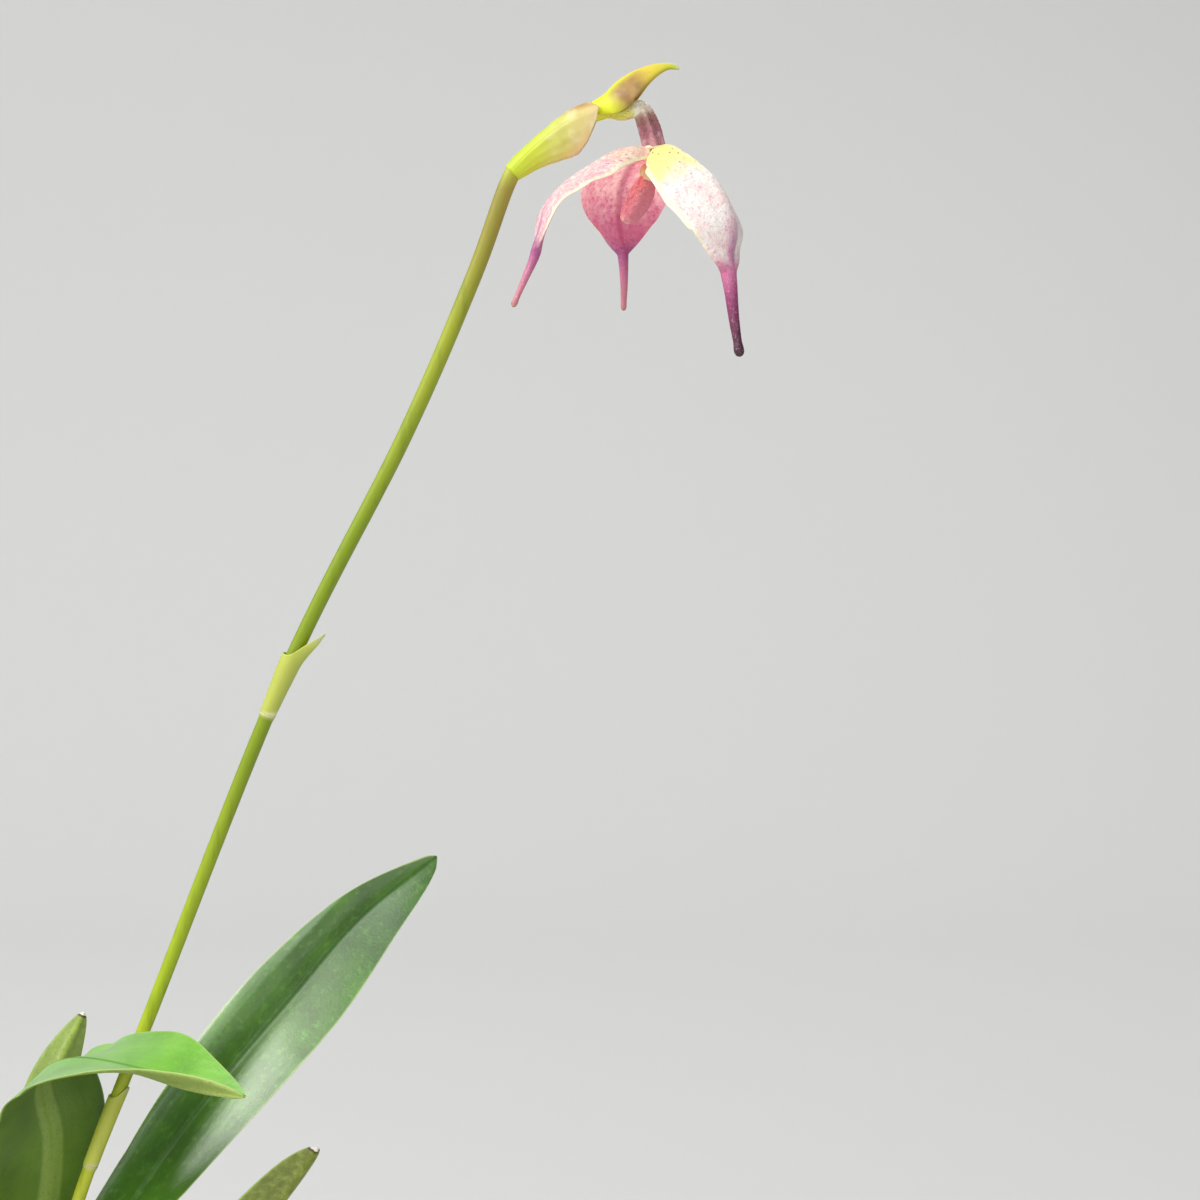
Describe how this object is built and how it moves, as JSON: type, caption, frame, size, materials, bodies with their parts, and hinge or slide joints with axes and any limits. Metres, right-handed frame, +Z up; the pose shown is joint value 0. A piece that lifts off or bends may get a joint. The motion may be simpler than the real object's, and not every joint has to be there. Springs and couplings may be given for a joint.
{
  "type": "potted dracula trichroma",
  "caption": "Small potted orchid: a clump of strap-shaped leaves in moss and one leaning flower stem with a nodding, three-tailed pink flower.",
  "frame": {"origin": "middle of the pot's flat underside, which stands on the ground", "axes": "+Z up; the flower stem leans to +X; the picture looks along +Y"},
  "size_m": [0.2184, 0.1, 0.3674],
  "materials": {
    "leaf": "satin",
    "leaf_stem": "matte",
    "scape": "satin",
    "bract": "satin",
    "ovary": "satin",
    "sepal": "satin",
    "column": "satin",
    "lip": "satin",
    "clay": "matte",
    "moss": "matte"
  },
  "bodies": {
    "root": {"stem_right_tall": "leaf_stem", "leaf_right_tall": "leaf", "stem_front_bent": "leaf_stem", "leaf_front_bent": "leaf", "stem_back_left": "leaf_stem", "leaf_back_left": "leaf", "stem_front_right": "leaf_stem", "leaf_front_right": "leaf", "stem_left_long": "leaf_stem", "leaf_left_long": "leaf", "stem_left_front": "leaf_stem", "leaf_left_front": "leaf", "stem_back_tall": "leaf_stem", "leaf_back_tall": "leaf", "stem_back_right": "leaf_stem", "leaf_back_right": "leaf", "stem_young_front": "leaf_stem", "leaf_young_front": "leaf", "scape": "scape", "floral_bract_lower": "bract", "floral_bract_upper": "bract", "ovary": "ovary", "perianth": "sepal", "column": "column", "lip": "lip", "pot": "clay", "moss": "moss"}
  },
  "joints": []
}
